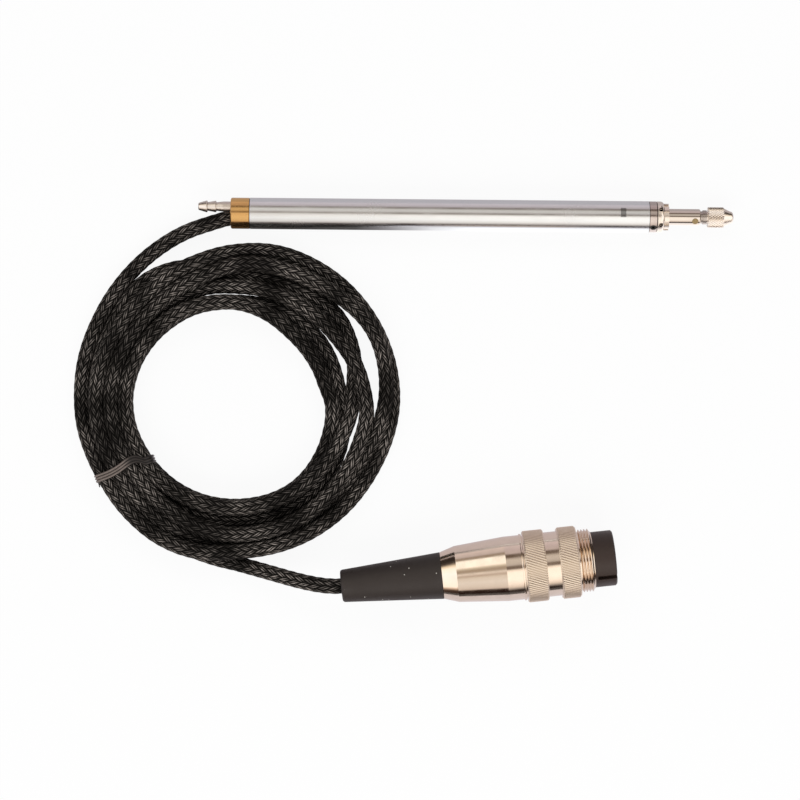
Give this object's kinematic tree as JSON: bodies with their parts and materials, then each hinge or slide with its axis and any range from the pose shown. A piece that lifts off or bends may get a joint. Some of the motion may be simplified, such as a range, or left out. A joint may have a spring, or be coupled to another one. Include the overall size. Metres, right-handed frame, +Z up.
{
  "type": "pen-type displacement sensor",
  "caption": "Slim cylindrical displacement sensor: sprung plunger with knurled contact, gold-coloured rear cap with air barb, braided cable tied in a coil, round screw connector.",
  "frame": {"origin": "centre of the clamping stem's front face, on the stem's axis; the surface that everything lies on is at z = -4 mm", "axes": "+X along the stem towards the contact, +Z up, +Y away from the coiled cable and the connector"},
  "size_m": [0.168, 0.1029, 0.0182],
  "materials": {
    "satin_steel": "satin turned steel",
    "gold_plate": "gold-coloured plating",
    "bright_nickel": "bright nickel plating",
    "nose_steel": "bright turned steel",
    "ground_steel": "ground and polished rod",
    "contact_steel": "knurled steel",
    "black_screw": "blackened steel",
    "brass_plug": "brass",
    "shell_nickel": "warm nickel plating",
    "boot_rubber": "matt rubber",
    "braid": "glossy black braid",
    "tie_plastic": "dark flexible strip",
    "insert_plastic": "black moulding",
    "gilt_contact": "gilt contacts",
    "grey_jacket": "grey jacket",
    "black_rubber": "black rubber",
    "board_green": "glass-fibre board",
    "wire_insulation": "coloured insulation",
    "bobbin_plastic": "natural moulding",
    "copper_wire": "enamelled copper winding",
    "shield_alloy": "nickel-iron sheet",
    "core_alloy": "nickel-iron core",
    "spring_steel": "spring wire",
    "seat_brass": "brass",
    "cushion_plastic": "hard plastic",
    "cage_brass": "brass cage",
    "ball_steel": "polished balls",
    "bush_steel": "hardened bush",
    "collet_plastic": "natural nylon"
  },
  "bodies": {
    "housing": {"stem_tube": "satin_steel", "rear_cap": "gold_plate", "cable_seal": "black_rubber", "cable_jacket": "grey_jacket", "air_barb": "bright_nickel", "termination_board": "board_green", "signal_wires": "wire_insulation", "coil_bobbin": "bobbin_plastic", "winding_front": "copper_wire", "winding_rear": "copper_wire", "magnetic_shield": "shield_alloy", "spring_seat": "seat_brass", "return_spring": "spring_steel", "stop_washer": "cushion_plastic", "guide_bush": "bush_steel", "collar": "nose_steel", "collar_screw": "black_screw", "nose_nut": "nose_steel", "rod_wiper": "black_rubber", "notched_ring": "nose_steel", "cable_lead": "braid", "cable_coil": "braid", "cable_tail": "braid", "cable_tie": "tie_plastic", "boot": "boot_rubber", "back_shell": "shell_nickel", "cable_collet": "collet_plastic", "front_shell": "shell_nickel", "contact_insert": "insert_plastic", "insert_ring": "shell_nickel", "socket_contacts": "gilt_contact", "connector_wires": "wire_insulation"},
    "plunger": {"plunger": "ground_steel", "piston_seal": "black_rubber", "core_rod": "ground_steel", "moving_core": "core_alloy", "lock_plug": "brass_plug", "lock_ring": "nose_steel", "contact_tip": "contact_steel"},
    "ball_cage": {"ball_cage": "cage_brass", "guide_balls": "ball_steel"}
  },
  "joints": [
    {"name": "plunger_slide", "type": "slide", "parent": "housing", "child": "plunger", "axis": [1, 0, 0], "range_m": [-0.0055, 0], "stiffness_N_per_m": 60, "springref_m": 0.01, "deforming": ["return_spring"]},
    {"name": "cage_slide", "type": "slide", "parent": "housing", "child": "ball_cage", "axis": [1, 0, 0], "range_m": [-0.00275, 0]}
  ],
  "couplings": [
    {"joint": "cage_slide", "follows": "plunger_slide", "ratio": 0.5}
  ]
}
